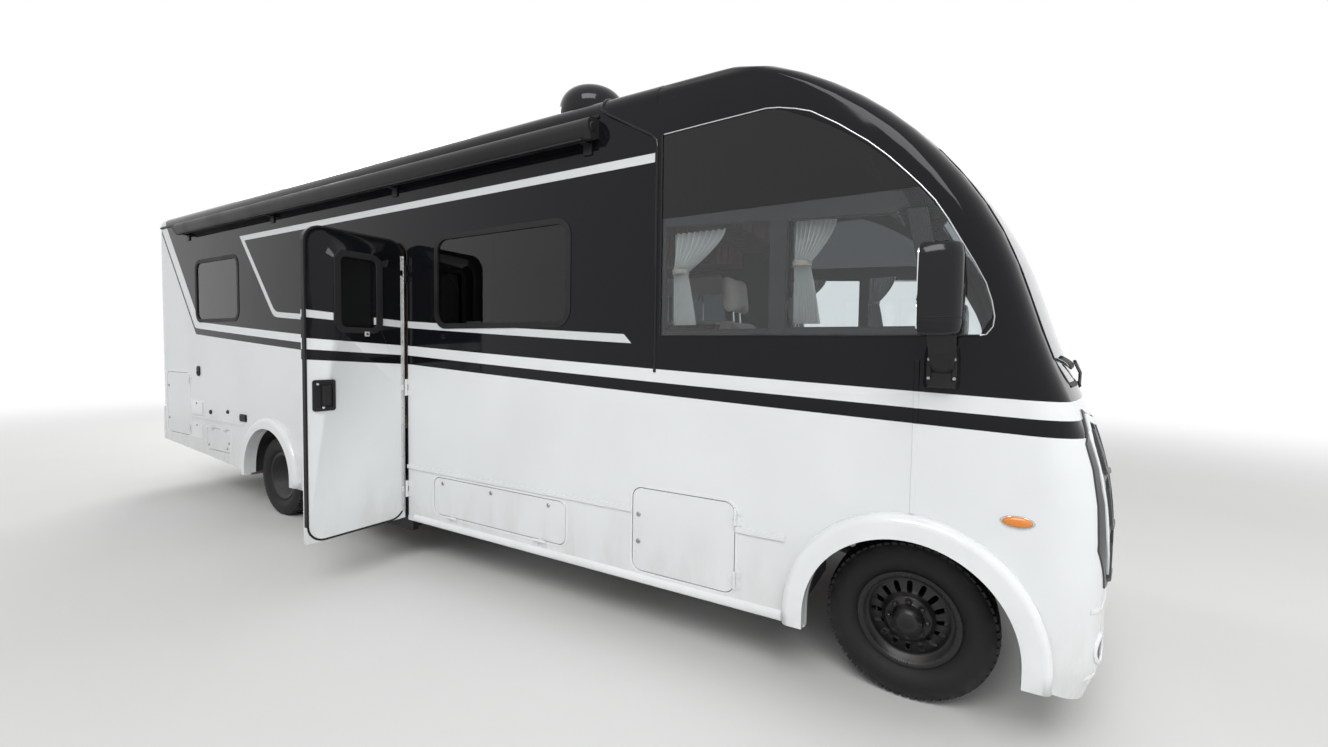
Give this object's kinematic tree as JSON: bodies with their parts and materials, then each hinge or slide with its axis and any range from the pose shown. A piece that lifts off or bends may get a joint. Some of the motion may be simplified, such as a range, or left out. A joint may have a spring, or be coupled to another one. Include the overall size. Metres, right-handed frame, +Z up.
{
  "type": "motorhome",
  "caption": "Coach-built motorhome with a bowed front cap, opening entry door and baggage doors, steered front wheels and twin rear wheels.",
  "frame": {"origin": "on the ground under the centre of the bounding box", "axes": "+X ahead, +Y to the vehicle's left, +Z up"},
  "size_m": [8.775, 3.382, 3.3],
  "materials": {
    "white_gelcoat": "gloss",
    "black_gelcoat": "gloss",
    "glass": "gloss",
    "lens": "gloss",
    "red_lens": "gloss",
    "rubber_seal": "satin",
    "tyre": "matte",
    "black_steel": "satin",
    "chassis_steel": "satin",
    "cast_metal": "rough",
    "pipe_steel": "satin",
    "black_plastic": "satin",
    "grey_plastic": "satin",
    "grey_metal": "satin",
    "oak": "satin",
    "amber_lens": "gloss",
    "cloth": "matte",
    "seat_cloth": "matte"
  },
  "bodies": {
    "coach": {"front_cap": "black_gelcoat", "windscreen": "glass", "side_glass": "glass", "window_frames": "rubber_seal", "right_wall": "black_gelcoat", "left_wall": "black_gelcoat", "right_skirt": "white_gelcoat", "left_skirt": "white_gelcoat", "rear_wall": "black_gelcoat", "roof": "white_gelcoat", "floor": "oak", "wheel_wells": "chassis_steel", "arch_flares": "white_gelcoat", "entry_step": "black_plastic", "baggage_tubs": "grey_plastic", "lamp_bezels": "black_plastic", "headlamps": "lens", "grille": "black_plastic", "fog_lamps": "lens", "service_hatches": "white_gelcoat", "marker_lamps": "amber_lens", "mirrors": "black_plastic", "tail_lamps": "red_lens", "rear_bumper": "white_gelcoat", "awning_case": "black_plastic", "roof_air_unit": "white_gelcoat", "roof_vents": "white_gelcoat", "aerial_dome": "black_plastic", "dashboard": "grey_plastic", "steering_wheel": "black_plastic", "cab_seats": "seat_cloth", "furniture": "oak", "cushions": "cloth", "chassis_frame": "chassis_steel", "tow_receiver": "chassis_steel", "front_axle": "cast_metal", "rear_axle": "cast_metal", "engine_block": "cast_metal", "exhaust": "pipe_steel", "tanks": "black_plastic"},
    "entry_door": {"entry_door": "black_gelcoat", "entry_door_glass": "glass"},
    "long_door_right": {"long_door_right": "white_gelcoat"},
    "long_door_left": {"long_door_left": "white_gelcoat"},
    "square_door": {"square_door": "white_gelcoat"},
    "tall_door": {"tall_door": "white_gelcoat"},
    "access_door": {"access_door": "white_gelcoat"},
    "left_knuckle": {"left_knuckle": "cast_metal"},
    "right_knuckle": {"right_knuckle": "cast_metal"},
    "tie_rod": {"tie_rod": "chassis_steel"},
    "front_left_wheel": {"front_left_tyre": "tyre", "front_left_rim": "black_steel"},
    "front_right_wheel": {"front_right_tyre": "tyre", "front_right_rim": "black_steel"},
    "rear_left_wheels": {"rear_left_tyres": "tyre", "rear_left_rims": "black_steel"},
    "rear_right_wheels": {"rear_right_tyres": "tyre", "rear_right_rims": "black_steel"}
  },
  "joints": [
    {"name": "entry_door_hinge", "type": "hinge", "parent": "coach", "child": "entry_door", "pos_m": [0.195, -1.011, 1.35], "axis": [0, 0, 1], "range_deg": [-90, 20]},
    {"name": "long_door_right_hinge", "type": "hinge", "parent": "coach", "child": "long_door_right", "pos_m": [1.0975, -1.011, 0.419], "axis": [1, 0, 0], "range_deg": [0, 150]},
    {"name": "long_door_left_hinge", "type": "hinge", "parent": "coach", "child": "long_door_left", "pos_m": [1.0975, 1.393, 0.419], "axis": [-1, 0, 0], "range_deg": [0, 150]},
    {"name": "square_door_hinge", "type": "hinge", "parent": "coach", "child": "square_door", "pos_m": [2.793, -1.011, 0.623], "axis": [0, 0, 1], "range_deg": [0, 110]},
    {"name": "tall_door_hinge", "type": "hinge", "parent": "coach", "child": "tall_door", "pos_m": [-3.608, -1.011, 0.945], "axis": [0, 0, 1], "range_deg": [0, 110]},
    {"name": "access_door_hinge", "type": "hinge", "parent": "coach", "child": "access_door", "pos_m": [-2.923, -1.011, 0.736], "axis": [-1, 0, 0], "range_deg": [0, 110]},
    {"name": "left_steer", "type": "hinge", "parent": "coach", "child": "left_knuckle", "pos_m": [3.565, 0.936, 0.372], "axis": [0, 0, 1], "range_deg": [-30, 30]},
    {"name": "right_steer", "type": "hinge", "parent": "coach", "child": "right_knuckle", "pos_m": [3.565, -0.554, 0.372], "axis": [0, 0, 1], "range_deg": [-30, 30]},
    {"name": "tie_rod_turn", "type": "hinge", "parent": "left_knuckle", "child": "tie_rod", "pos_m": [3.385, 0.936, 0.3035], "axis": [0, 0, 1], "range_deg": [-30, 30]},
    {"name": "front_left_spin", "type": "hinge", "parent": "left_knuckle", "child": "front_left_wheel", "pos_m": [3.565, 1.069, 0.372], "axis": [0, 1, 0], "continuous": true},
    {"name": "front_right_spin", "type": "hinge", "parent": "right_knuckle", "child": "front_right_wheel", "pos_m": [3.565, -0.687, 0.372], "axis": [0, 1, 0], "continuous": true},
    {"name": "rear_left_spin", "type": "hinge", "parent": "coach", "child": "rear_left_wheels", "pos_m": [-1.82, 1.0735, 0.372], "axis": [0, 1, 0], "continuous": true},
    {"name": "rear_right_spin", "type": "hinge", "parent": "coach", "child": "rear_right_wheels", "pos_m": [-1.82, -0.6915, 0.372], "axis": [0, 1, 0], "continuous": true}
  ],
  "couplings": [
    {"joint": "right_steer", "follows": "left_steer", "ratio": 1},
    {"joint": "tie_rod_turn", "follows": "left_steer", "ratio": -1}
  ]
}
